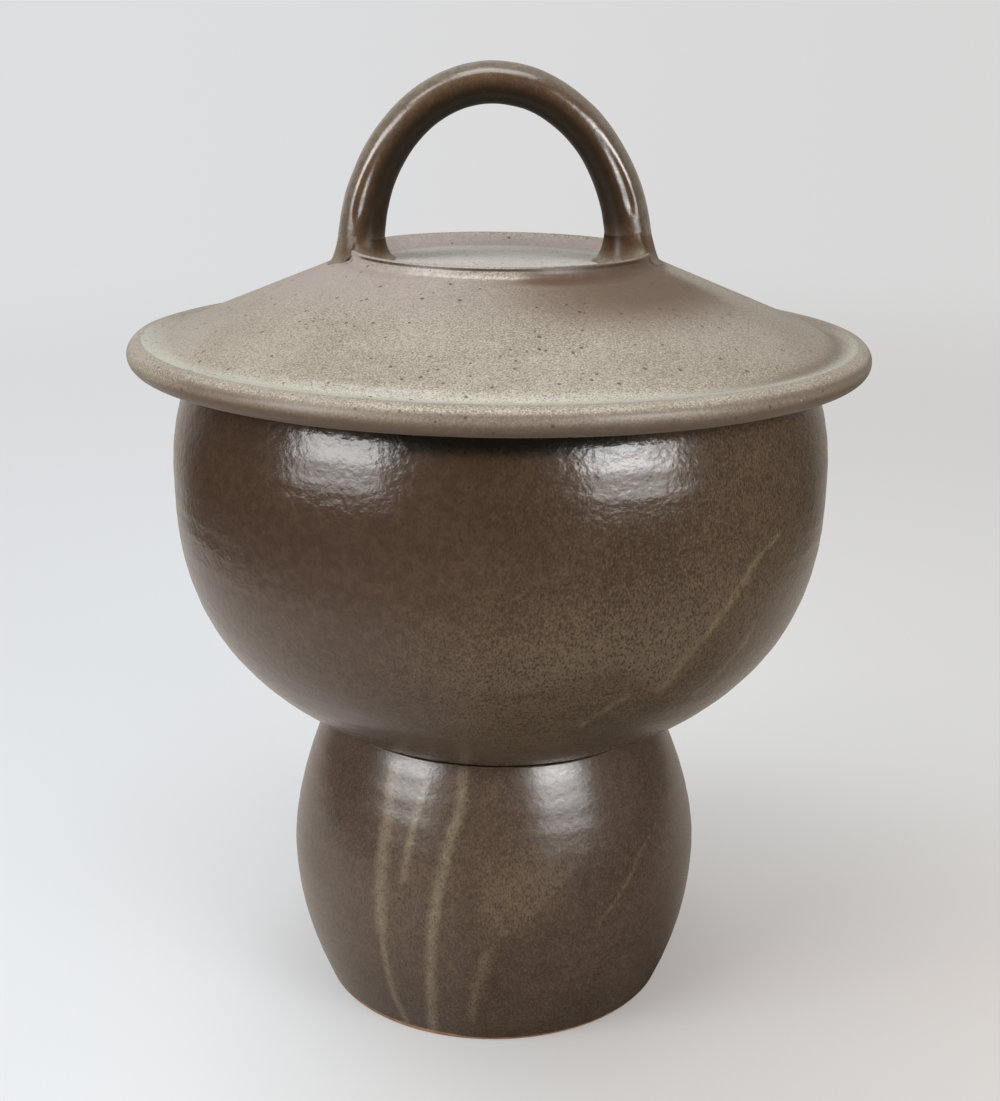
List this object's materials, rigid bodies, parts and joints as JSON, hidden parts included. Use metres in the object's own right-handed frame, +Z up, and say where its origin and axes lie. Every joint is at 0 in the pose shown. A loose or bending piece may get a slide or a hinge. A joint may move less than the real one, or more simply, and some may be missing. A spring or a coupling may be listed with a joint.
{
  "type": "lidded pottery jar",
  "caption": "Round stoneware storage jar on a hollow pedestal foot, with a wide loose lid that has an arched handle.",
  "frame": {"origin": "on the table, under the middle of the lid, which is also the middle of the bounding box's base", "axes": "+Z up; +X along the handle's arch, to the right in the picture; +Y away from the camera"},
  "size_m": [0.284, 0.284, 0.371],
  "materials": {
    "bowl_glaze": "satin",
    "foot_glaze": "satin",
    "bare_clay": "matte",
    "lid_glaze": "matte",
    "handle_glaze": "satin",
    "root_glaze": "satin"
  },
  "bodies": {
    "jar_body": {"bowl": "bowl_glaze", "pedestal_foot": "foot_glaze", "luting_coil": "bare_clay"},
    "lid_body": {"lid": "lid_glaze", "lid_flange": "bare_clay", "lid_handle": "handle_glaze", "handle_root_left": "root_glaze", "handle_root_right": "root_glaze"}
  },
  "joints": [
    {"name": "lid_lift", "type": "slide", "parent": "jar_body", "child": "lid_body", "axis": [0.0115, 0, 0.9999], "range_m": [0, 0.18]}
  ]
}
